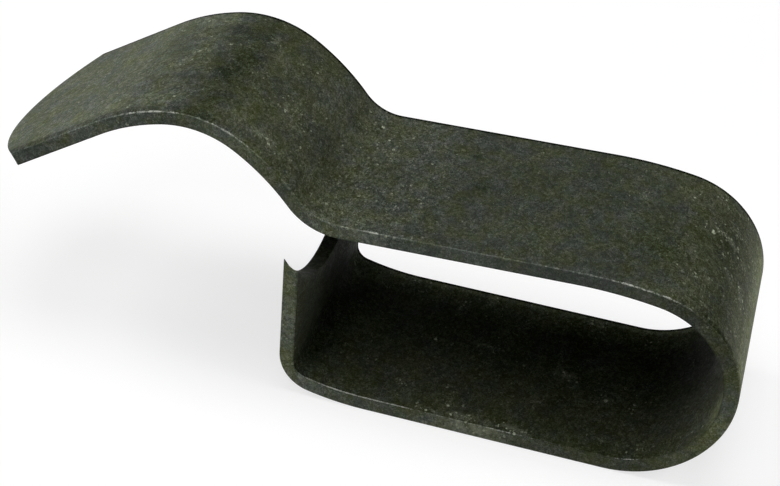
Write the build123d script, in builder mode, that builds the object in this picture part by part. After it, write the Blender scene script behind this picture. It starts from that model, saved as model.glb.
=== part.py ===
from build123d import *
import math
import os

# Chassis clip, one strip of spring steel bent edge-on into a flat loop with an arched arm.
# The loop slides over the edge of a chassis flange: two horns on the short leg bite its
# underside, the throat of the arm presses on its top, and the arch holds a pipe down on it.
# X runs along the clip towards the round bend, Y across the strip, Z up.
# The origin is the middle of the flat underside. Bend radii are to the middle of the thickness.

# strip
strip_width = 16.0
strip_thickness = 1.05
edge_radius = 0.15

# flat base of the loop, and the slight bow between it and the corner
base_length = 16.5
bow_radius = 19.0
bow_angle = 12.0

# corner up into the short leg, and the gap left between the leg and the throat
corner_radius = 2.25
corner_angle = 76.5
corner_inside = 1.1
mouth_gap = 2.5

# round bend at the closed end, easing out into the top
lower_bend_radius = 7.2
lower_bend_angle = 66.0
upper_bend_radius = 6.5
upper_bend_angle = 105.65
ease_radius = 30.0
ease_angle = 10.5

# top of the loop, and the throat where the arm turns up from it
top_length = 15.5
throat_radius = 4.0
throat_angle = 51.0

# arched arm and its tail
rise_radius = 16.0
rise_angle = 18.5
arch_radius = 7.35
arch_angle = 43.0
shoulder_radius = 13.5
shoulder_angle = 20.0
tail_length = 6.9
tail_crown = 2.85

# scoop in the end of the leg, which leaves a pointed horn at each side
scoop_depth = 4.1
horn_land = 0.1
horn_bevel = 0.7
horn_hollow = 0.17

half_width = strip_width / 2
half_thickness = strip_thickness / 2
edge_round = min(edge_radius, strip_thickness / 3)


def end_plane(tip, heading, lift=0.0):
    # plane along the strip at a free end: X across it, Y out past the end, and Z square to it,
    # upwards at the tail and into the loop at the leg; lift moves it off the middle of the strip
    across = Vector(0, 1, 0)
    square = across.cross(Vector(heading.X, 0, heading.Y))
    return Plane(origin=Vector(tip.X, 0, tip.Y) + square * lift, x_dir=across, z_dir=square)


with BuildPart() as spring_clip:
    # the bent strip, seen from its side
    with BuildSketch(Plane.XZ):
        with BuildLine():
            base = Line((-base_length / 2, half_thickness), (base_length / 2, half_thickness))
            lower_bend = JernArc(base @ 1, base % 1, lower_bend_radius, lower_bend_angle)
            upper_bend = JernArc(lower_bend @ 1, lower_bend % 1, upper_bend_radius, upper_bend_angle)
            ease = JernArc(upper_bend @ 1, upper_bend % 1, ease_radius, ease_angle)
            top = PolarLine(ease @ 1, top_length, direction=ease % 1)
            throat = JernArc(top @ 1, top % 1, throat_radius, -throat_angle)
            rise = JernArc(throat @ 1, throat % 1, rise_radius, rise_angle)
            arch = JernArc(rise @ 1, rise % 1, arch_radius, arch_angle)
            shoulder = JernArc(arch @ 1, arch % 1, shoulder_radius, shoulder_angle)
            tail = PolarLine(shoulder @ 1, tail_length, direction=shoulder % 1)

            bow = JernArc(base @ 0, (-1, 0), bow_radius, -bow_angle)
            corner = JernArc(bow @ 1, bow % 1, corner_radius, -corner_angle)
            horn_height = (top @ 1).Y - half_thickness - mouth_gap
            leg_length = (horn_height - (corner @ 1).Y) / (corner % 1).Y
            leg = PolarLine(corner @ 1, leg_length, direction=corner % 1)
        trace(line_width=strip_thickness)
        # inside of the corner, pressed sharper than its outside, which thins the strip there
        with BuildLine():
            start, onward, finish = bow @ 1, bow % 1, corner % 1
            inward = Vector(onward.Y, -onward.X)
            run = (corner_radius - half_thickness) * math.tan(math.radians(corner_angle / 2))
            root = start + inward * half_thickness
            vertex = root + onward * run
            FilletPolyline(root, vertex, vertex + finish * run, radius=corner_inside)
            Polyline(vertex + finish * run, start + inward * corner_radius, root)
        make_face(mode=Mode.SUBTRACT)
    extrude(amount=half_width, both=True)
    tail_end = end_plane(tail @ 1, tail % 1)
    leg_end = end_plane(leg @ 1, leg % 1)

    # long edges, softened after shearing
    end_faces = [spring_clip.faces().sort_by_distance(end.origin)[0] for end in (tail_end, leg_end)]
    side_edges = spring_clip.faces().filter_by(Axis.Y).edges()
    fillet(side_edges - ShapeList(end_faces).edges(), edge_round)

    # crown across the end of the tail
    with BuildSketch(tail_end):
        with BuildLine():
            ThreePointArc((-half_width, 0), (0, tail_crown), (half_width, 0))
            Line((half_width, 0), (-half_width, 0))
        make_face()
    extrude(amount=half_thickness, both=True)

    # scoop in the end of the leg: square to the strip in its middle, and cut back on the
    # inside towards the horns, in a hollow, so that they come to a point on the outside
    scoop_half = half_width - horn_land
    reach = strip_width
    halfway = horn_bevel / 2 + horn_hollow
    for lift, drop in ((-half_thickness, 0), (0, halfway), (half_thickness, horn_bevel)):
        with BuildSketch(end_plane(leg @ 1, leg % 1, lift)):
            with BuildLine():
                ThreePointArc((-scoop_half, -drop), (0, -scoop_depth), (scoop_half, -drop))
                Polyline((scoop_half, -drop), (reach, -drop), (reach, strip_thickness),
                         (-reach, strip_thickness), (-reach, -drop), (-scoop_half, -drop))
            make_face()
    loft(ruled=True, mode=Mode.SUBTRACT)

spring_clip.part.label = "spring_clip"
os.makedirs("parts", exist_ok=True)
export_step(spring_clip.part, "parts/spring_clip.step")
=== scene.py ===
import math

import bmesh
import bpy
from mathutils import Matrix, Vector


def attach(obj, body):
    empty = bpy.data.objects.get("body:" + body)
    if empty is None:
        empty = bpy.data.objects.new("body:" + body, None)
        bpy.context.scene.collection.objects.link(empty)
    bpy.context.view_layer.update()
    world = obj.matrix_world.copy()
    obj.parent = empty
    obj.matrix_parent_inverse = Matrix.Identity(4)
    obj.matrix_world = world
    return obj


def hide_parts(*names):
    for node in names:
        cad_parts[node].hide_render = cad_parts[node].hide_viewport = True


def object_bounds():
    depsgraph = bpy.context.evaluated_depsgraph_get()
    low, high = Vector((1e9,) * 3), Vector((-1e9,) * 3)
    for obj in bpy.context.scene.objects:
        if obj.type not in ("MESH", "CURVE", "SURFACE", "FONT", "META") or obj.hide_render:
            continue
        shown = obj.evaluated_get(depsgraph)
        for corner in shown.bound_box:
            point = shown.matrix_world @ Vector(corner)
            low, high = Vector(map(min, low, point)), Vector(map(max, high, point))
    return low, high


mm = 0.001  # one millimetre in metres, the unit of the scene

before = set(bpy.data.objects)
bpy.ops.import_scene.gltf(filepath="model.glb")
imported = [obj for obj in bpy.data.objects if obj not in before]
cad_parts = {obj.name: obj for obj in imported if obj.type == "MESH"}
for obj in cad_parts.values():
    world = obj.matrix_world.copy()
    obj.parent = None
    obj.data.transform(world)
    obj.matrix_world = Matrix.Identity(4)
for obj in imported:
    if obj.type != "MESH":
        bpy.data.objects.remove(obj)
cadLow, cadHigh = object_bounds()
print("frame loaded, clip is", [round(v / mm, 2) for v in cadHigh - cadLow], "mm")


# camera, from a little above and to the right of square on, and slightly tilted
shot = {
    "place": (0.01258, -0.10531, 0.07626),  # in metres
    "azimuth": 11.783,
    "elevation": 32.209,
    "tilt": 6.465,
    "lens": 84.793,
    "sensor": 36.0,
    "clipStart": 0.005,
    "clipEnd": 20,
}


def addCamera():
    turn, rise, tilt = (math.radians(shot[name]) for name in ("azimuth", "elevation", "tilt"))
    back = Vector((math.sin(turn) * math.cos(rise), -math.cos(turn) * math.cos(rise), math.sin(rise)))
    right = Vector((math.cos(turn), math.sin(turn), 0))
    up = back.cross(right)
    across = right * math.cos(tilt) + up * math.sin(tilt)
    upward = up * math.cos(tilt) - right * math.sin(tilt)
    data = bpy.data.cameras.new("camera")
    data.sensor_fit = "HORIZONTAL"
    data.sensor_width = shot["sensor"]
    data.lens = shot["lens"]
    data.clip_start = shot["clipStart"]
    data.clip_end = shot["clipEnd"]
    camera = bpy.data.objects.new("camera", data)
    bpy.context.scene.collection.objects.link(camera)
    axes = Matrix((across, upward, back)).transposed().to_4x4()
    camera.matrix_world = Matrix.Translation(shot["place"]) @ axes
    bpy.context.scene.camera = camera


addCamera()
print("camera set")


# node helpers
def newMaterial(name):
    made = bpy.data.materials.new(name)
    made.use_nodes = True
    made.node_tree.nodes.clear()
    return made


def addNode(tree, kind, settings=None, **inputs):
    made = tree.nodes.new("ShaderNode" + kind)
    for name, value in (settings or {}).items():
        setattr(made, name, value)
    for name, value in inputs.items():
        feed(tree, made, name, value)
    return made


def feed(tree, made, name, value):
    # name is a socket's own name, or "in" with its number; value is another node's output or a plain value
    numbered = name.startswith("in") and name[2:].isdigit()
    socket = made.inputs[int(name[2:]) if numbered else name]
    if isinstance(value, bpy.types.NodeSocket):
        tree.links.new(value, socket)
    else:
        socket.default_value = value


def maths(tree, operation, first, second=None, clamp=False):
    made = addNode(tree, "Math", {"operation": operation, "use_clamp": clamp}, in0=first)
    if second is not None:
        feed(tree, made, "in1", second)
    return made.outputs[0]


def times(tree, first, second):
    return maths(tree, "MULTIPLY", first, second)


def plus(tree, first, second):
    return maths(tree, "ADD", first, second)


def blendColour(tree, amount, under, over, way="MIX"):
    made = addNode(tree, "Mix", {"data_type": "RGBA", "blend_type": way})
    for index, value in ((0, amount), (6, under), (7, over)):
        feed(tree, made, "in" + str(index), value)
    return made.outputs[2]


def spread(tree, value, low, high, bottom=0.0, top=1.0):
    # value from low to high becomes bottom to top
    made = addNode(tree, "MapRange", in0=value)
    for index, number in ((1, low), (2, high), (3, bottom), (4, top)):
        made.inputs[index].default_value = number
    return made.outputs[0]


# floor, backdrop, daylight and lamps, in metres and watts
studio = {
    # the backdrop's profile outside the floor's middle, as radius and height
    "floorProfile": [(1.1, 0.0), (1.25, 0.01), (1.37, 0.04), (1.45, 0.10), (1.5, 0.24)],
    "floorSides": 96,
    "floorColour": (0.32, 0.32, 0.32, 1),
    "floorGlow": 0.715,  # added where the camera or a reflection sees the floor, which makes it white
    "daylight": 0.0,
    # softboxes, as place, width and power
    "leftLamp": ((-0.57, 0.0, 0.52), 0.45, 2.7),
    "rightLamp": ((0.55, 0.0, 0.55), 0.45, 1.6),
    "topLamp": ((0.0, 0.0, 0.80), 0.45, 2.2),
    "frontLamp": ((0.0, -0.50, 0.60), 0.45, 1.15),
}


def floorMaterial():
    made = newMaterial("paleFloor")
    tree = made.node_tree
    matte = addNode(tree, "BsdfDiffuse", Color=studio["floorColour"])
    path = addNode(tree, "LightPath")
    seen = maths(tree, "MAXIMUM", path.outputs["Is Camera Ray"], path.outputs["Is Glossy Ray"])
    seen = maths(tree, "MAXIMUM", seen, path.outputs["Is Transmission Ray"])
    glow = addNode(tree, "Emission", Color=(1, 1, 1, 1))
    feed(tree, glow, "Strength", times(tree, seen, studio["floorGlow"]))
    both = addNode(tree, "AddShader", in0=matte.outputs[0], in1=glow.outputs[0])
    addNode(tree, "OutputMaterial", Surface=both.outputs[0])
    return made


def addFloor():
    # a round sheet whose rim is swept up into a low backdrop
    bm = bmesh.new()
    middle = bm.verts.new((0, 0, cadLow.z))
    rings = []
    for radius, height in studio["floorProfile"]:
        ring = []
        for side in range(studio["floorSides"]):
            angle = 2 * math.pi * side / studio["floorSides"]
            x, y = radius * math.cos(angle), radius * math.sin(angle)
            ring.append(bm.verts.new((x, y, cadLow.z + height)))
        rings.append(ring)
    for side in range(studio["floorSides"]):
        after = (side + 1) % studio["floorSides"]
        bm.faces.new((middle, rings[0][side], rings[0][after]))
        for inside, outside in zip(rings, rings[1:]):
            bm.faces.new((inside[side], outside[side], outside[after], inside[after]))
    mesh = bpy.data.meshes.new("floor")
    bm.to_mesh(mesh)
    bm.free()
    mesh.shade_smooth()
    mesh.materials.append(floorMaterial())
    floor = bpy.data.objects.new("floor", mesh)
    bpy.context.scene.collection.objects.link(floor)


def addDaylight():
    world = bpy.data.worlds.new("daylight")
    world.use_nodes = True
    sky = world.node_tree.nodes["Background"]
    sky.inputs["Color"].default_value = (1, 1, 1, 1)
    sky.inputs["Strength"].default_value = studio["daylight"]
    bpy.context.scene.world = world


def addLamp(name):
    place, width, power = studio[name]
    data = bpy.data.lights.new(name, "AREA")
    data.shape = "DISK"
    data.size = width
    data.energy = power
    lamp = bpy.data.objects.new(name, data)
    bpy.context.scene.collection.objects.link(lamp)
    lamp.location = place
    aim = (cadLow + cadHigh) / 2 - Vector(place)
    lamp.rotation_euler = aim.to_track_quat("-Z", "Y").to_euler()


addFloor()
addDaylight()
for lampName in ("leftLamp", "rightLamp", "topLamp", "frontLamp"):
    addLamp(lampName)
bpy.context.scene.view_settings.view_transform = "Standard"
print("floor, daylight and lamps set")


# the clip: one strip, bent up from its middle both ways; sizes in mm and degrees
clip = {
    "width": 16.0,
    "thickness": 1.05,
    # runs of the strip from the middle of the base, as (radius, angle) of a bend or (0, length)
    "towardsLeg": [(0, 8.25), (19.0, 12.0), (2.25, 76.5)],
    "towardsArm": [(0, 8.25), (7.2, 66.0), (6.5, 105.65), (30.0, 10.5), (0, 15.5),
                   (4.0, -51.0), (16.0, 18.5), (7.35, 43.0), (13.5, 20.0)],
    "runsToThroat": 5,  # how many runs towards the arm come before the throat
    "tailLength": 6.9,
    "tailCrown": 2.85,
    "mouthGap": 2.5,  # from the horns to the underside of the throat
    "scoopDepth": 4.1,
    "hornLand": 0.1,
    "hornBevel": 0.7,
    "hornHollow": 0.17,
    "cornerInside": 1.1,  # radius inside the corner of the leg, sharper than its outside
    "clearance": 0.0002,  # kept between the skin and the right side of the solid's box
    # edges left by the shear, crisp all round except where the near outer one is worn over
    "crispRadius": 0.06,
    "crispAngles": (0, 30, 60, 90),
    "faceShoulder": 0.08,  # from a crisp edge to the last place on the face beside it
    "sideShoulder": 0.07,  # and to the first one on the sheared side
    "rollLength": 0.60,
    # how deep the near outer edge is rolled over, by the distance from the middle of the base
    "rollDepth": [(20, 0.0), (26, 0.12), (46, 0.12), (50, 0.08), (56, 0.08), (60, 0.12), (78, 0.14)],
    "rollSteps": (0.2, 0.4, 0.58, 0.74),  # places on the roll, as shares of its length
    "brinkStep": (0.14, 0.74),  # the last one before the ridge, as shares of its length left and its depth
    "ridgeStep": 0.92,  # where the ridge starts, as a share of the depth
    "ridgeWidth": 0.025,
    "rollShoulder": 0.09,  # from the roll to the first place on the sheared side
    "endRound": 0.05,
    # how finely the strip is divided
    "columns": 65,
    "cutRows": (0.25, 0.5, 0.75),  # places across a cut, as shares of the thickness
    "stepLength": 0.40,
    "stepAngle": 4.0,
    "sharpAngle": 50,
}

# how the finish, and the light and shade painted with it, lie on the strip; a pair is a distance from the
# middle of the base in mm, negative towards the horns and positive towards the tail, and the value there
wearAndShading = {
    # how pale the faces and the sheared edges are; 1 is the plain finish. On the faces this is partly
    # painted
    # light: the bright rim round the outside of the bend and the paler tail are painted light over the
    # finish's own tone
    "faceToneAndLight": [(-22, 1.0), (-12, 0.95), (16, 0.95), (18.5, 1.5), (21, 3.2), (23, 1.0), (25, 0.72),
                 (27, 0.87), (30, 0.83), (42, 0.88), (47, 1.00), (50, 1.04), (54, 1.02), (57, 1.10),
                 (59, 1.05), (61, 0.80), (62, 0.86), (64.5, 1.45), (70, 1.87), (78, 1.80)],
    "edgeTone": [(-22, 3.5), (-19, 3.6), (-17, 3.1), (-15, 3.7), (-12, 3.2), (-9, 2.6), (-3, 2.7), (0, 2.6),
                 (2, 2.1), (6, 1.8), (9, 2.1), (11, 1.65), (13, 2.4), (15, 2.5), (17, 3.6), (19, 3.1),
                 (21, 2.2), (23, 1.55), (26, 1.35), (30, 2.1), (36, 1.95), (42, 2.7), (45, 2.3), (48, 3.1),
                 (51, 2.8), (54, 2.5), (58, 3.1), (63, 2.5), (66, 2.7), (69, 3.2), (74, 2.3), (78, 2.1)],
    # and how pale the roll is against the face beside it
    "rollTone": [(-22, 0.8), (24, 0.72), (27, 1.05), (29, 1.45), (31, 1.1), (47, 1.0), (51, 1.15),
                 (57, 1.2), (61, 0.85), (68, 0.62), (78, 0.62)],
    # painted light and shade inside the loop: darker along the corner by the leg and towards the far edge,
    # where the loop shades itself, and lighter at the leg's end and into the bend
    "insideTone": [(-22, 1.35), (-18, 1.05), (-15.5, 1.0), (-13.5, 0.66), (-12.5, 0.7), (-10.5, 1.05),
                   (-7, 1.15), (2, 1.0), (5, 0.88), (10, 0.92), (13, 1.06), (15, 1.35), (17.5, 1.6),
                   (19.5, 1.1), (22, 0.85), (78, 0.8)],
    # the painted shade across the loop, darkest towards the far edge, goes by the place across instead, and
    # the list after it says how far it counts
    "insideAcross": [(-8, 0.80), (-7, 0.86), (-6, 0.96), (-4.5, 1.04), (-3, 0.88), (-1, 0.64), (1, 0.56),
                     (3, 0.52), (5, 0.50), (7.0, 0.46), (7.6, 0.80), (8, 0.80)],
    "insideReach": [(-22, 0.85), (-15, 0.75), (-12, 0.65), (-9, 0.85), (-5, 0.97), (14.5, 1.0), (17.5, 0.3),
                    (20, 0.0)],
    # painted shade on the inner edges, which damps the light their rounding catches, so they are duller than
    # the outer ones
    "innerEdgeTone": 0.6,
    # painted shade on the far edges, whose rounding turns from the light: dark from these places across the
    # strip and blended in over a short way
    "farEdgeShade": 0.0,
    "farShadeOutside": 7.65,
    "farDarkInside": 7.7,
    "farShadeBlend": 0.15,
    # the cut ends: how pale at the near side and at the far side, and how brightly their rims are rubbed; at
    # the leg's end these are painted shade over the near side, which the lamps light brightly, and painted
    # light over the far side, which lies in the throat's shadow
    "legEnd": (0.20, 3.0, 0.05),
    "tailEnd": (1.15, 1.15, 0.40),
    # how olive the mottling is, from 0 for slate to 1
    "olive": [(-22, 0.7), (20, 0.95), (27, 0.85), (31, 0.47), (46, 0.37), (51, 0.62), (60, 0.75),
              (64, 0.45), (78, 0.45)],
    # how much of the rub each kind of place takes, and each ring from a cut end inwards
    "rubShare": {"ridge": 0.9, "brow": 0.5, "brink": 0.7, "roll": 0.15},
    "endRub": (0.2, 1.0, 1.0, 0.2),
    # how brightly each ridge is rubbed
    "outerRidge": [(-22, 0.2), (20, 0.15), (25.5, 0.1), (27, 0.6), (29, 1.0), (30.5, 1.0), (32.5, 0.6),
                   (36, 0.5), (39, 0.3), (44, 0.2), (46.3, 0.3), (47.2, 1.1), (48.3, 0.4), (50, 0.2),
                   (56, 0.2), (58, 0.65), (59.5, 0.9), (60.8, 0.55), (61.6, 0.3), (62.6, 0.8), (63.4, 0.8),
                   (65.4, 1.0), (66.8, 0.4), (68, 0.1), (78, 0.05)],
    "innerRidge": [(-22, 0.1), (-19, 0.4), (-16, 0.35), (-14.5, 0.1), (-13, 0.9), (-11.8, 0.8),
                   (-10.5, 1.4), (-6.5, 1.2), (-4.5, 0.6), (-1, 0.5), (1.5, 1.0), (4, 0.3), (6, 0.1),
                   (8.5, 0.1), (9.5, 0.9), (11, 0.7), (12.5, 0.1), (78, 0.1)],
    # how thickly the specks lie
    "speckCrowd": [(-22, 0.5), (-12, 0.6), (12, 0.6), (20, 0.65), (23, 1.05), (27, 0.75), (30, 0.35),
                   (42, 0.35), (46, 0.85), (54, 0.85), (60, 0.5), (64, 0.6), (78, 0.6)],
    # single smudges and pale patches outside, as distance, place across, length, width, strength
    "marks": [(61.0, 0.6, 0.9, 1.8, -0.36), (42.0, 0.1, 0.8, 0.7, -0.30), (43.2, 4.2, 0.5, 0.5, -0.25),
              (33.0, 1.6, 0.25, 1.5, -0.22), (29.8, -2.4, 1.6, 2.2, -0.20), (25.5, 2.0, 1.2, 3.5, -0.15),
              (64.5, -6.0, 1.9, 1.0, 0.35), (50.5, 6.2, 1.5, 1.5, 0.12), (51.0, -6.2, 1.8, 1.2, 0.25),
              (62.5, 5.0, 1.0, 1.5, -0.20), (54.0, -1.5, 1.5, 2.5, -0.12), (58.0, -6.3, 2.5, 1.0, 0.20),
              (52.6, 4.2, 0.7, 0.9, -0.25), (65.5, 1.2, 0.7, 0.9, -0.15), (72.0, -6.0, 6.0, 1.2, 0.15),
              (61.7, -1.6, 0.7, 0.9, -0.30), (61.5, -5.9, 0.6, 0.9, -0.20), (63.0, 5.2, 0.6, 0.7, -0.25),
              (58.6, -4.0, 0.8, 1.6, 0.22), (58.8, 3.6, 0.7, 1.4, 0.20), (63.2, 6.6, 1.4, 1.2, 0.40),
              (27.5, 5.0, 3.5, 2.6, 0.18), (21.5, 4.5, 1.0, 2.5, 0.2), (65.8, 4.2, 1.2, 1.0, -0.18),
              (45.0, -6.0, 2.0, 2.5, 0.14), (47.2, 0.2, 0.7, 0.8, 0.20), (50.6, 4.8, 1.0, 1.2, -0.18)],
    "marksInside": [(18.2, -6.7, 1.7, 1.5, 1.3), (-9.0, -5.6, 2.0, 1.2, 0.3),
                    (-11.5, -3.0, 1.2, 1.0, -0.25), (-12.5, -7.2, 1.0, 0.8, 0.3),
                    (15.5, -5.5, 1.0, 2.5, 0.25), (15.0, 1.0, 1.0, 2.0, -0.2),
                    (-18.0, 3.5, 2.4, 4.0, -0.24), (-13.2, -4.2, 1.0, 2.2, -0.3),
                    (-13.3, 4.5, 1.2, 2.2, 0.8), (6.0, 2.0, 2.0, 1.5, 0.25), (-8.0, 4.0, 1.5, 1.5, 0.25)],
    # powdery patches where specks gather, in the same order, for each side of the strip; those of chalkEdge
    # are on both sheared sides
    "chalkOutside": [(20.6, -6.4, 1.5, 1.2, 0.4), (25.4, 2.7, 0.5, 0.5, 1.0), (24.8, 2.4, 0.4, 0.4, 1.0),
                     (26.3, 2.6, 0.5, 1.0, 0.8), (24.6, 4.5, 0.6, 0.6, 0.8), (25.2, 0.6, 0.5, 0.6, 0.9),
                     (23.6, 1.6, 0.5, 0.6, 1.0), (22.4, 3.9, 0.4, 0.5, 0.9), (26.1, -3.7, 0.5, 0.4, 0.9),
                     (27.0, -4.1, 0.4, 0.5, 0.6), (24.8, -1.4, 0.4, 0.9, 0.9), (23.3, -1.6, 0.5, 1.2, 0.9),
                     (22.9, -3.2, 0.4, 0.8, 0.7), (21.9, 0.1, 0.4, 0.6, 0.9), (28.2, -4.0, 0.4, 0.4, 0.6),
                     (31.3, 3.2, 0.7, 0.9, 0.6), (28.4, 5.2, 0.6, 0.9, 0.5), (26.4, 7.0, 0.6, 0.6, 0.6),
                     (46.3, -3.2, 1.6, 1.3, 0.3), (48.8, 2.2, 1.2, 1.8, 0.3), (50.3, 4.6, 1.2, 2.4, 0.3),
                     (46.8, 0.4, 0.5, 0.6, 0.5), (49.5, -4.8, 1.8, 2.6, 0.2), (62.8, 2.7, 0.9, 0.3, 0.9),
                     (60.2, 4.6, 0.4, 0.4, 1.0), (64.8, -0.1, 0.5, 0.9, 1.0), (64.6, -6.0, 1.6, 0.8, 0.6),
                     (64.1, 1.5, 0.4, 0.4, 1.0), (66.1, 6.6, 0.8, 0.6, 0.6), (62.5, -2.0, 0.4, 0.4, 0.9),
                     (60.2, -0.1, 0.3, 0.3, 0.9), (57.2, -1.4, 0.6, 0.8, 0.8), (57.6, -6.0, 0.7, 0.5, 0.8),
                     (72.2, -2.4, 0.3, 0.3, 0.9), (58.7, 7.2, 0.5, 0.4, 0.6), (56.5, -6.3, 2.2, 1.0, 0.4),
                     (69.5, -4.5, 2.5, 1.5, 0.4), (71.5, 1.0, 4.0, 3.0, 0.2)],
    "chalkInside": [(17.6, -6.8, 1.0, 0.7, 1.0), (19.0, -7.2, 0.8, 0.5, 1.0), (14.5, -6.8, 2.5, 0.9, 0.35),
                    (10.7, -6.9, 1.5, 0.4, 0.5), (2.5, -7.6, 0.6, 0.4, 1.0), (1.4, -7.4, 1.2, 0.4, 0.9),
                    (-1.6, -7.5, 1.6, 0.5, 1.0), (-4.2, -7.6, 0.8, 0.4, 0.7), (-2.8, -5.7, 0.25, 1.0, 0.9),
                    (-6.5, -5.3, 0.5, 0.8, 0.8), (4.3, -0.1, 1.0, 0.6, 1.0), (3.6, 1.0, 0.3, 1.2, 0.8),
                    (7.5, -2.0, 2.0, 2.0, 0.45), (-1.7, 1.2, 1.2, 0.3, 1.0), (-5.1, 0.6, 1.2, 0.25, 1.0),
                    (-2.5, 7.0, 0.5, 0.9, 0.9), (-4.6, 5.1, 0.4, 1.0, 0.9), (5.2, 6.9, 1.2, 0.5, 0.7),
                    (-16.5, 5.6, 0.4, 2.0, 0.4), (-17.5, -7.6, 2.5, 0.3, 0.8)],
    "chalkEdge": [(-17.5, -8, 3.0, 1, 0.6), (-11.5, -8, 2.0, 1, 0.4), (-0.6, -8, 3.2, 1, 1.0),
                  (47.0, -8, 1.8, 1, 0.7), (52.5, -8, 2.5, 1, 0.4), (58.5, -8, 1.5, 1, 0.5),
                  (66.0, -8, 2.0, 1, 0.3)],
}


def along(table, distance):
    # reads one of the lists above at a distance, going smoothly from each value to the next
    for (near, low), (far, high) in zip(table, table[1:]):
        if distance <= far:
            share = max(0.0, (distance - near) / (far - near))
            return low + (high - low) * share * share * (3 - 2 * share)
    return table[-1][1]


def walk(place, heading, runs):
    # goes along the runs and gives each place passed, with its heading and the distance gone
    spots = [(place, heading, 0.0)]
    gone = 0.0
    for radius, amount in runs:
        length = radius * math.radians(abs(amount)) if radius else amount
        steps = max(1, math.ceil(length / clip["stepLength"]))
        if radius:
            steps = max(steps, math.ceil(abs(amount) / clip["stepAngle"]))
        for step in range(steps):
            turn = math.radians(amount) / steps if radius else 0.0
            chord = 2 * radius * math.sin(abs(turn) / 2) if radius else amount / steps
            middle = heading + turn / 2
            place = place + Vector((math.cos(middle), math.sin(middle))) * chord
            heading += turn
            gone += length / steps
            spots.append((place, heading, gone))
    return spots


def crispEdge(side, face):
    # round a crisp edge, from the face to the sheared side; side and face are 1 or -1
    half, thick, crisp = clip["width"] / 2, clip["thickness"] / 2, clip["crispRadius"]
    edge = [(side * (half - crisp - clip["faceShoulder"]), face * thick, "shoulder")]
    for angle in clip["crispAngles"]:
        a = math.radians(angle)
        y, outward = half - crisp + crisp * math.sin(a), thick - crisp + crisp * math.cos(a)
        edge.append((side * y, face * outward, "brow" if angle in (0, 90) else "ridge"))
    edge.append((side * half, face * (thick - crisp - clip["sideShoulder"]), "shoulder"))
    return edge


def rolledEdge(distance):
    # round the near outer edge, from the face to the sheared side
    half, thick, width = clip["width"] / 2, clip["thickness"] / 2, clip["ridgeWidth"]
    roll = max(along(clip["rollDepth"], distance), clip["crispRadius"])
    reach = clip["rollLength"] * roll / max(depth for place, depth in clip["rollDepth"])
    edge = [(-half + reach * (1 - t), thick - roll * t * t, "roll") for t in clip["rollSteps"]]
    left, down = clip["brinkStep"]
    edge.append((-half + reach * left, thick - roll * down, "brink"))
    edge.append((-half + width, thick - roll * clip["ridgeStep"], "ridge"))
    edge.append((-half, thick - roll - width, "ridge"))
    edge.append((-half, thick - roll - clip["rollShoulder"], "shoulder"))
    return edge


def shearedSide(outerEdge, innerEdge):
    # down a side: its outer edge, the cut and its inner edge, both of which run from face to side
    y, high = outerEdge[-1][:2]
    span = innerEdge[-1][1] - high
    cut = [(y, high + span * share, "cut") for share in clip["cutRows"]]
    return outerEdge + cut + innerEdge[::-1]


def faceBetween(first, last, outward):
    # the places across a face, between the shoulders of its two edges
    steps = clip["columns"] - 1
    return [(first + (last - first) * (step / steps), outward, "face") for step in range(1, steps)]


def sectionPoints(distance):
    # the points round the section at a distance, as (across, outward, kind), and how many of them are on the
    # far side; they start on the outer face, and outward is positive outside the loop
    thick = clip["thickness"] / 2
    nearSide = shearedSide(rolledEdge(distance), crispEdge(-1, -1))
    farSide = shearedSide(crispEdge(1, 1), crispEdge(1, -1))
    outer = faceBetween(nearSide[0][0], farSide[0][0], thick)
    inner = faceBetween(farSide[-1][0], nearSide[-1][0], -thick)
    return outer + farSide + inner + nearSide[::-1], len(farSide)


def crownReach(y):
    # how far the crown stands out past the tail's corners at a place across the strip
    half, crown = clip["width"] / 2, clip["tailCrown"]
    radius = (half * half + crown * crown) / (2 * crown)
    return math.sqrt(max(0.0, radius * radius - y * y)) - (radius - crown)


def scoopReach(y, outward):
    # how far the scoop and the bevel behind it cut down into the leg
    half = clip["width"] / 2 - clip["hornLand"]
    share = min(max(0.5 - outward / clip["thickness"], 0), 1)
    drop = clip["hornBevel"] * share + clip["hornHollow"] * 4 * share * (1 - share)
    if abs(y) >= half:
        return drop
    sag = clip["scoopDepth"] - drop
    radius = (half * half + sag * sag) / (2 * sag)
    return clip["scoopDepth"] - radius + math.sqrt(radius * radius - y * y)


def cornerPinch(distance):
    # how much thinner the strip is at a place in the corner, whose inside is pressed sharper
    (first, flat), (bowRadius, bowAngle), (radius, angle) = clip["towardsLeg"]
    half = math.radians(angle) / 2
    inside, sharp = radius - clip["thickness"] / 2, clip["cornerInside"]
    turn = abs((-distance - flat - bowRadius * math.radians(bowAngle)) / radius - half)
    if turn >= half:
        return 0.0
    if turn > half - math.atan((inside - sharp) * math.tan(half) / inside):
        return inside / math.cos(half - turn) - inside
    offset = (inside - sharp) / math.cos(half)
    return offset * math.cos(turn) + math.sqrt(sharp ** 2 - (offset * math.sin(turn)) ** 2) - inside


def placeAt(spot, reach, point, inset=0.0, pinch=0.0):
    # where a point of the section comes to lie, drawn in by the inset and carried along by its reach
    root, heading, gone = spot
    thick = clip["thickness"] / 2
    y = point[0] * (1 - inset / (clip["width"] / 2))
    outward = point[1] * (1 - inset / thick) + pinch * (0.5 - point[1] / (2 * thick))
    onward = Vector((math.cos(heading), math.sin(heading)))
    at = root + onward * reach + Vector((onward.y, -onward.x)) * outward
    return Vector((at.x, y, at.y))


def ringOf(spot, points, reachOf, inset=0.0, pinch=0.0):
    # the points of one ring or row, each as (place, distance, section point)
    made = []
    for point in points:
        reach = reachOf(point)
        made.append((placeAt(spot, reach, point, inset, pinch), spot[2] + reach, point))
    return made


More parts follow.
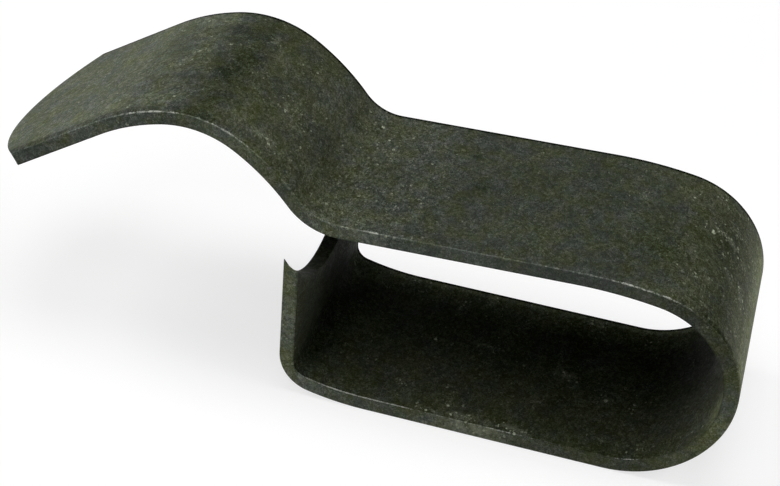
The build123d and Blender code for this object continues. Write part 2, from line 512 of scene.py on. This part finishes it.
def endRings(spot, sign, fullReach):
    # rings from the root of a free end to its rounded edge, following the cut of that end, and the rows
    # over the cut itself; sign is 1 at the tail and -1 at the horns
    rounding = clip["endRound"]
    steps = max(math.ceil(fullReach((y, 0)) / clip["stepLength"]) for y in (0, clip["width"] / 2))
    plan = [(step / steps, rounding, 0.0) for step in range(1, steps)]
    for angle in clip["crispAngles"]:
        a = math.radians(angle)
        plan.append((1.0, rounding * (1 - math.sin(a)), rounding * (1 - math.cos(a))))
    section, farCount = sectionPoints(spot[2])
    rings = [ringOf(spot, section, lambda point: sign * share * (fullReach(point) - back), inset)
             for share, back, inset in plan]
    columns = clip["columns"] - 2
    outer, inner = section[:columns], section[columns + farCount:2 * columns + farCount][::-1]
    cap = []
    for share in clip["cutRows"]:
        row = [(y, high + (low - high) * share, "cut") for (y, high, _), (_, low, _) in zip(outer, inner)]
        cap.append(ringOf(spot, row, lambda point: sign * fullReach(point), rounding))
    return rings, cap


def bendStrip():
    # gives rings of (place, distance, section point) for the whole strip, from the horns to the end of the
    # tail, and the rows that close those two ends
    thick = clip["thickness"] / 2
    start = Vector((0, thick))
    arm = walk(start, 0.0, clip["towardsArm"])
    throat = walk(start, 0.0, clip["towardsArm"][:clip["runsToThroat"]])[-1][0]
    # the leg's side is walked as its mirror image, and turned back
    mirrored = walk(start, 0.0, clip["towardsLeg"])
    leg = [(Vector((-place.x, place.y)), -heading, -gone) for place, heading, gone in mirrored]
    legRoot, legHeading = leg[-1][:2]
    legLength = (throat.y - thick - clip["mouthGap"] - legRoot.y) / -math.sin(legHeading)
    legRings, legCap = endRings(leg[-1], -1, lambda point: legLength - scoopReach(point[0], point[1]))
    tailRings, tailCap = endRings(arm[-1], 1, lambda point: clip["tailLength"] + crownReach(point[0]))
    middle = []
    for spot in leg[::-1] + arm[1:]:
        section = sectionPoints(spot[2])[0]
        middle.append(ringOf(spot, section, lambda point: 0.0, 0.0, cornerPinch(spot[2])))
    return legRings[::-1] + middle + tailRings, legCap, tailCap


def gather(patches, distance, y):
    # adds up the soft round patches of one list at a place on the strip
    total = 0.0
    for place, across, length, width, strength in patches:
        reach = ((distance - place) / length) ** 2 + ((y - across) / width) ** 2
        total += strength * math.exp(-reach)
    return total


def finishAt(y, outward, kind, distance, ending):
    # the painted values for one point of the skin, its finish and its painted light and shade; ending counts
    # rings from the nearer cut end, which has 0
    half, outside = clip["width"] / 2, outward > 0
    onSide = kind in ("cut", "ridge") or kind in ("brow", "shoulder") and abs(y) > half - 0.001
    ridge = along(wearAndShading["outerRidge" if outside else "innerRidge"], distance)
    ridge *= wearAndShading["rubShare"].get(kind, 0.0)
    # the faces' tone, with its painted light on the bend's rim and on the tail
    toneLightAndShade = along(wearAndShading["faceToneAndLight"], distance)
    if onSide:
        toneLightAndShade = along(wearAndShading["edgeTone"], distance)
        # painted shade on the inner edges
        if not outside and kind in ("ridge", "brow"):
            toneLightAndShade *= wearAndShading["innerEdgeTone"]
        chalk = gather(wearAndShading["chalkEdge"], distance, -half)
    elif outside:
        toneLightAndShade *= 1 + gather(wearAndShading["marks"], distance, y)
        chalk = gather(wearAndShading["chalkOutside"], distance, y)
    else:
        # painted light and shade inside the loop, darker towards its far edge
        reach = along(wearAndShading["insideReach"], distance)
        toneLightAndShade *= along(wearAndShading["insideTone"], distance) * (1 - reach + reach * along(wearAndShading["insideAcross"], y))
        toneLightAndShade *= 1 + gather(wearAndShading["marksInside"], distance, y)
        chalk = gather(wearAndShading["chalkInside"], distance, y)
    if kind in ("roll", "brink"):
        toneLightAndShade *= along(wearAndShading["rollTone"], distance)
    shadeFrom = wearAndShading["farShadeOutside"] if outside else wearAndShading["farDarkInside"]
    if y > shadeFrom and kind != "cut":
        # painted shade: the far edges are darkened, and blend into the face in front of them
        toneLightAndShade += (wearAndShading["farEdgeShade"] - toneLightAndShade) * min(1, (y - shadeFrom) / wearAndShading["farShadeBlend"])
        ridge = 0.0
    # at the leg's end the near and far tones are painted shade and painted light
    nearTone, farTone, endRidge = wearAndShading["legEnd"] if distance < 0 else wearAndShading["tailEnd"]
    if ending == 0:
        toneLightAndShade, chalk = nearTone + (farTone - nearTone) * (0.5 + y / clip["width"]), 0.0
    if ending < len(wearAndShading["endRub"]):
        ridge = max(ridge, endRidge * wearAndShading["endRub"][ending])
    return {
        "toneLightAndShade": toneLightAndShade,
        "ridge": ridge,
        "specks": along(wearAndShading["speckCrowd"], distance),
        "chalk": min(chalk, 1.0),
        "olive": along(wearAndShading["olive"], distance),
        "sheared": 1.0 if onSide or ending == 0 and distance > 0 else 0.0,
    }


def closeEnd(bm, ring, cap, farCount):
    # the cut end: rows from its outer edge to its inner edge, joined to the sheared sides at both ends
    columns, rows = clip["columns"] - 2, len(clip["cutRows"])
    innerEdge = len(clip["crispAngles"]) + 2  # the points of a crisp edge, with its two shoulders
    levels = [ring[:columns]] + cap + [ring[columns + farCount:2 * columns + farCount][::-1]]
    for upper, lower in zip(levels, levels[1:]):
        for i in range(columns - 1):
            bm.faces.new((upper[i], upper[i + 1], lower[i + 1], lower[i]))
    for side, at in ((ring[columns:columns + farCount], -1), (ring[2 * columns + farCount:][::-1], 0)):
        last = len(side) - 1
        stops = [0] + [last - innerEdge - k for k in range(rows - 1, -1, -1)] + [last]
        for k in range(rows + 1):
            bm.faces.new([levels[k][at]] + side[stops[k]:stops[k + 1] + 1] + [levels[k + 1][at]])


def skinStrip():
    rings, legCap, tailCap = bendStrip()
    reachRight = max(place.x for ring in rings for place, gone, point in ring)
    shift = Vector((cadHigh.x / mm - clip["clearance"] - reachRight, (cadLow.y + cadHigh.y) / 2 / mm,
                    cadLow.z / mm))
    bm = bmesh.new()
    # the tone among these holds painted light and shade as well as the finish's own tone
    names = ("toneLightAndShade", "ridge", "specks", "chalk", "olive", "sheared")
    layers = {name: bm.verts.layers.float.new(name) for name in names}

    def addRow(spots, ending):
        row = []
        for place, gone, (y, outward, kind) in spots:
            vert = bm.verts.new((place + shift) * mm)
            for name, value in finishAt(y, outward, kind, gone, ending).items():
                vert[layers[name]] = value
            row.append(vert)
        return row

    skin = [addRow(ring, min(number, len(rings) - 1 - number)) for number, ring in enumerate(rings)]
    section, farCount = sectionPoints(0)
    for lower, upper in zip(skin, skin[1:]):
        for i in range(len(section)):
            j = (i + 1) % len(section)
            bm.faces.new((lower[i], lower[j], upper[j], upper[i]))
    for ring, cap in ((skin[0], legCap), (skin[-1], tailCap)):
        closeEnd(bm, ring, [addRow(spots, 0) for spots in cap], farCount)
    bmesh.ops.recalc_face_normals(bm, faces=bm.faces)
    for face in bm.faces:
        face.smooth = True
    mesh = bpy.data.meshes.new("clipStrip")
    bm.to_mesh(mesh)
    bm.free()
    mesh.set_sharp_from_angle(angle=math.radians(clip["sharpAngle"]))
    strip = bpy.data.objects.new("clipStrip", mesh)
    bpy.context.scene.collection.objects.link(strip)
    return strip


strip = skinStrip()
print("strip bent and skinned,", len(strip.data.polygons), "faces")


# the finish: dull olive black phosphate, mottled, dusted and scratched, bright where the edges rub, and
# darkened or paled by the light and shade painted on the strip's points
finish = {
    "olive": (0.0505, 0.0575, 0.027, 1),
    "slate": (0.046, 0.053, 0.045, 1),
    "chalk": (0.48, 0.52, 0.38, 1),
    "rubbed": (0.66, 0.68, 0.60, 1),
    # laid over the colour, which drifts from one to the other
    "warm": (1.05, 0.97, 1.03, 1),
    "green": (0.95, 1.03, 0.97, 1),
    "gloss": 0.14,
    "dust": 0.09,  # a bloom of fine powder that pales the surface at low angles
    "dustRoughness": 0.35,
    "dustColour": (0.90, 1.0, 0.66, 1),
    "grainAcross": 0.72,  # below 1 the grain is drawn out across the strip
    # the uneven layers, as a noise of (size in mm, detail, roughness, warp, shift) and the spread of its
    # values, from (low, high) to (bottom, top)
    "layers": {
        "hue": ((1.3, 4, 0.62, 0.3, 0), (0.3, 0.7, -0.65, 0.65)),
        "cloud": ((3.5, 3, 0.6, 0.4, 5), (0.3, 0.7, 0.78, 1.22)),
        "blotch": ((0.8, 4, 0.8, 0, 9), (0.25, 0.75, 0.60, 1.40)),
        "fine": ((0.09, 1, 0.5, 0, 13), (0.32, 0.74, 0.45, 1.7)),
        "drift": ((0.8, 3, 0.65, 0, 71), (0.3, 0.7, 0, 1)),
        "powder": ((0.5, 5, 0.85, 0, 17), (0.58, 0.74, 0, 1)),
        "crowd": ((2.2, 3, 0.6, 0, 21), (0.36, 0.62, 0.3, 1.2)),
        "crumbs": ((0.11, 2, 0.6, 0, 61), (0.42, 0.56, 0.15, 1)),
        "line": ((1.1, 1, 0.4, 1.2, 31), (0, 0.006, 1, 0)),
        "linePlace": ((0.9, 2, 0.5, 0, 37), (0.56, 0.62, 0, 1)),
        "rub": ((0.3, 5, 0.9, 0, 43), (0.2, 0.8, -1.7, 1.7)),
        "roughness": ((0.6, 3, 0.65, 0, 51), (0.3, 0.7, 0.54, 0.72)),
    },
    # how far the values painted on the strip change a layer, from (low, high) to (bottom, top)
    "mottleBy": {"sheared": (0, 1, 1, 0.8), "specks": (0.3, 0.7, 0.72, 1), "toneLightAndShade": (0.5, 0.9, 1.25, 1)},
    "greenInShade": (0.5, 0.9, 0.8, 0),
    "powderBySheared": (0, 1, 0.16, 0.50),
    "specksByTone": (0.3, 0.9, 0.30, 1),
    "scratchesBySpecks": (0.2, 0.9, 0.16, 0.45),
    "rubByRidge": (0.15, 0.6, 0, 1),
    "glossByTone": (0.4, 1, 0, 1),
    "slateBySheared": 0.28,
    # what a patch of chalk adds to the others
    "chalkPowder": 0.20,
    "chalkCrowd": 1.6,
    "chalkCrumbs": 0.8,
    "chalkSpecks": 1.2,
    "chalkLinePlace": 0.12,
    "chalkScratches": 0.7,
    # the crystal grain: cell size in mm, how much it leans to the dark, and its spread
    "grainSize": 0.17,
    "grainLean": 1.6,
    "grainSpread": (0, 1, 0.60, 1.70),
    "shake": 0.35,  # in mm, so that no speck comes out round
    "shakeNoise": {"Scale": 5.0, "Detail": 4.0, "Roughness": 0.8},
    # layers of specks, as cell size in mm, share of cells filled, radius in cells, brightness,
    # and the crowding from which they appear
    "speckLayers": [(0.20, 0.50, 0.38, 0.25, 0.0), (0.30, 0.28, 0.36, 0.60, 0.30),
                    (0.46, 0.40, 0.30, 1.0, 0.80)],
    "speckStart": 12,  # how fast a cell fills once the crowding reaches it
    "speckStrength": (0, 1, 0.35, 1),
    "speckSmallest": 0.45,  # as a share of the radius above
    "speckEdge": (-0.04, 0.06),  # how softly a speck ends, in cells
    "speckLift": 1.1,  # brightness of the specks away from the chalk
    "rubEdge": (0.5, 1.3),  # where the rub starts to show and where it is full
    "rubCover": 0.75,
    "rubPolish": 0.15,  # how much smoother the rubbed metal is
    # the relief, in mm
    "grainHeight": 0.012,
    "blotchHeight": 0.03,
    "speckHeight": 0.015,
    "scratchDepth": 0.01,
}


def painted(tree, name):
    # one of the values painted on the strip's points
    return addNode(tree, "Attribute", {"attribute_name": name}).outputs["Fac"]


def noise(tree, place, name):
    size, detail, rough, warp, shift = finish["layers"][name][0]
    moved = addNode(tree, "VectorMath", in0=place, in1=(shift, shift * 0.7, -shift)).outputs[0]
    made = addNode(tree, "TexNoise", Vector=moved, Scale=1 / size, Detail=detail, Roughness=rough,
                   Distortion=warp)
    return made.outputs["Fac"]


def layered(tree, value, name):
    # spreads a noise, or what was made of it, as its layer says
    return spread(tree, value, *finish["layers"][name][1])


def cells(tree, place, size):
    # gives the distance from the middle of each cell, and three chances for the cell
    made = addNode(tree, "TexVoronoi", {"feature": "F1"}, Vector=place, Scale=1 / size, Randomness=1.0)
    chances = addNode(tree, "SeparateColor", Color=made.outputs["Color"]).outputs
    return made.outputs["Distance"], chances


def shakenPlace(tree, place):
    # moves each place a little either way
    shake = addNode(tree, "TexNoise", Vector=place, **finish["shakeNoise"]).outputs["Color"]
    shake = addNode(tree, "VectorMath", {"operation": "SUBTRACT"}, in0=shake, in1=(0.5, 0.5, 0.5))
    shake = addNode(tree, "VectorMath", {"operation": "SCALE"}, in0=shake.outputs[0], Scale=finish["shake"])
    return addNode(tree, "VectorMath", in0=place, in1=shake.outputs[0]).outputs[0]


def mottledColour(tree, place, shaken):
    # clouds of olive and slate under a fine crystal grain
    hue = layered(tree, noise(tree, place, "hue"), "hue")
    slate = times(tree, painted(tree, "sheared"), finish["slateBySheared"])
    greener = maths(tree, "SUBTRACT", painted(tree, "olive"), slate)
    hue = maths(tree, "ADD", hue, greener, clamp=True)
    colour = blendColour(tree, hue, finish["slate"], finish["olive"])
    cloud = layered(tree, noise(tree, place, "cloud"), "cloud")
    blotch = layered(tree, noise(tree, place, "blotch"), "blotch")
    crystal = maths(tree, "POWER", cells(tree, shaken, finish["grainSize"])[1][0], finish["grainLean"])
    crystal = spread(tree, crystal, *finish["grainSpread"])
    grain = times(tree, crystal, layered(tree, noise(tree, place, "fine"), "fine"))
    # fainter on a sheared side and where specks are few, and stronger in the dark of the loop
    mottle = maths(tree, "SUBTRACT", times(tree, times(tree, cloud, blotch), grain), 1.0)
    for name, change in finish["mottleBy"].items():
        mottle = times(tree, mottle, spread(tree, painted(tree, name), *change))
    # half of it is a change of depth and half a grey bloom, so that pale grains don't turn yellow
    half = times(tree, mottle, 0.5)
    colour = blendColour(tree, 1.0, colour, plus(tree, half, 1.0), "MULTIPLY")
    colour = blendColour(tree, 1.0, colour, times(tree, half, finish["slate"][0]), "ADD")
    # the painted tone: the finish's own tone together with painted light and shade
    colour = blendColour(tree, 1.0, colour, painted(tree, "toneLightAndShade"), "MULTIPLY")
    # slow drifts between a warm and a green grey, with a painted green tint of shade where the tone is
    # darkened by painted shade
    drift = layered(tree, noise(tree, place, "drift"), "drift")
    drift = plus(tree, drift, spread(tree, painted(tree, "toneLightAndShade"), *finish["greenInShade"]))
    drift = blendColour(tree, drift, finish["warm"], finish["green"])
    return blendColour(tree, 1.0, colour, drift, "MULTIPLY"), grain, blotch


def powder(tree, place, chalk):
    # powder held in the patches, broken up by a rough noise
    made = plus(tree, noise(tree, place, "powder"), times(tree, chalk, finish["chalkPowder"]))
    made = times(tree, layered(tree, made, "powder"), chalk)
    return times(tree, made, spread(tree, painted(tree, "sheared"), *finish["powderBySheared"]))


def specks(tree, place, shaken, chalk):
    # specks of chalky dust: a cell is filled when its chance is under the crowding there
    crowd = times(tree, layered(tree, noise(tree, place, "crowd"), "crowd"), painted(tree, "specks"))
    crowd = plus(tree, crowd, times(tree, chalk, finish["chalkCrowd"]))
    made = None
    for size, share, radius, brightness, fewest in finish["speckLayers"]:
        distance, chances = cells(tree, shaken, size)
        filled = times(tree, maths(tree, "SUBTRACT", crowd, fewest), share)
        filled = times(tree, maths(tree, "SUBTRACT", filled, chances[0]), finish["speckStart"])
        strength = spread(tree, chances[2], *finish["speckStrength"])
        filled = maths(tree, "MULTIPLY", filled, strength, clamp=True)
        width = spread(tree, chances[1], 0.0, 1.0, finish["speckSmallest"] * radius, radius)
        inside = maths(tree, "SUBTRACT", width, distance)
        spot = times(tree, spread(tree, inside, *finish["speckEdge"], 0.0, brightness), filled)
        made = spot if made is None else maths(tree, "MAXIMUM", made, spot)
    # crumbled at their edges, and fainter in the dark of the loop
    crumbs = layered(tree, noise(tree, place, "crumbs"), "crumbs")
    crumbs = maths(tree, "MAXIMUM", crumbs, times(tree, chalk, finish["chalkCrumbs"]))
    made = times(tree, made, crumbs)
    made = times(tree, made, spread(tree, painted(tree, "toneLightAndShade"), *finish["specksByTone"]))
    lift = plus(tree, times(tree, chalk, finish["chalkSpecks"]), finish["speckLift"])
    return maths(tree, "MULTIPLY", made, lift, clamp=True)


def scratches(tree, place, chalk):
    # short fine scratches, on the level lines of a warped noise and only in some places
    line = maths(tree, "ABSOLUTE", maths(tree, "SUBTRACT", noise(tree, place, "line"), 0.5))
    made = layered(tree, line, "line")
    where = plus(tree, noise(tree, place, "linePlace"), times(tree, chalk, finish["chalkLinePlace"]))
    return times(tree, made, layered(tree, where, "linePlace"))


def scratchCover(tree, scratch, chalk):
    shown = spread(tree, painted(tree, "specks"), *finish["scratchesBySpecks"])
    shown = maths(tree, "MAXIMUM", shown, times(tree, chalk, finish["chalkScratches"]))
    return times(tree, scratch, shown)


def rubbedRidge(tree, place):
    # broken by noise, and wider where the rub is heavy
    ridge = painted(tree, "ridge")
    broken = plus(tree, ridge, layered(tree, noise(tree, place, "rub"), "rub"))
    return times(tree, spread(tree, broken, *finish["rubEdge"]), spread(tree, ridge, *finish["rubByRidge"]))


def relief(tree, grain, blotch, speck, scratch):
    height = times(tree, grain, finish["grainHeight"])
    height = plus(tree, height, times(tree, blotch, finish["blotchHeight"]))
    height = plus(tree, height, times(tree, speck, finish["speckHeight"]))
    height = maths(tree, "SUBTRACT", height, times(tree, scratch, finish["scratchDepth"]))
    return addNode(tree, "Bump", Height=height, Strength=1.0, Distance=mm).outputs[0]


def phosphateMaterial():
    made = newMaterial("phosphatedSteel")
    tree = made.node_tree
    inMm = (1 / mm, finish["grainAcross"] / mm, 1 / mm)
    place = addNode(tree, "TexCoord").outputs["Object"]
    place = addNode(tree, "VectorMath", {"operation": "MULTIPLY"}, in0=place, in1=inMm).outputs[0]
    shaken = shakenPlace(tree, place)
    chalk = painted(tree, "chalk")

    colour, grain, blotch = mottledColour(tree, place, shaken)
    colour = blendColour(tree, powder(tree, place, chalk), colour, finish["chalk"])
    speck = specks(tree, place, shaken, chalk)
    colour = blendColour(tree, speck, colour, finish["chalk"])
    scratch = scratches(tree, place, chalk)
    colour = blendColour(tree, scratchCover(tree, scratch, chalk), colour, finish["chalk"])
    ridge = rubbedRidge(tree, place)
    colour = blendColour(tree, times(tree, ridge, finish["rubCover"]), colour, finish["rubbed"])
    roughness = layered(tree, noise(tree, place, "roughness"), "roughness")
    roughness = maths(tree, "SUBTRACT", roughness, times(tree, ridge, finish["rubPolish"]))

    shader = addNode(tree, "BsdfPrincipled", Roughness=roughness)
    feed(tree, shader, "Base Color", colour)
    feed(tree, shader, "Normal", relief(tree, grain, blotch, speck, scratch))
    # the gloss and the bloom of dust fade where the tone holds painted shade, in the dark of the loop and on
    # the far edges
    bare = spread(tree, painted(tree, "toneLightAndShade"), *finish["glossByTone"])
    feed(tree, shader, "Specular IOR Level", times(tree, bare, finish["gloss"]))
    feed(tree, shader, "Sheen Weight", times(tree, bare, finish["dust"]))
    shader.inputs["Sheen Roughness"].default_value = finish["dustRoughness"]
    shader.inputs["Sheen Tint"].default_value = finish["dustColour"]
    addNode(tree, "OutputMaterial", Surface=shader.outputs[0])
    return made


strip.data.materials.append(phosphateMaterial())
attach(strip, "root")
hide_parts("spring_clip")
print("finish laid on")
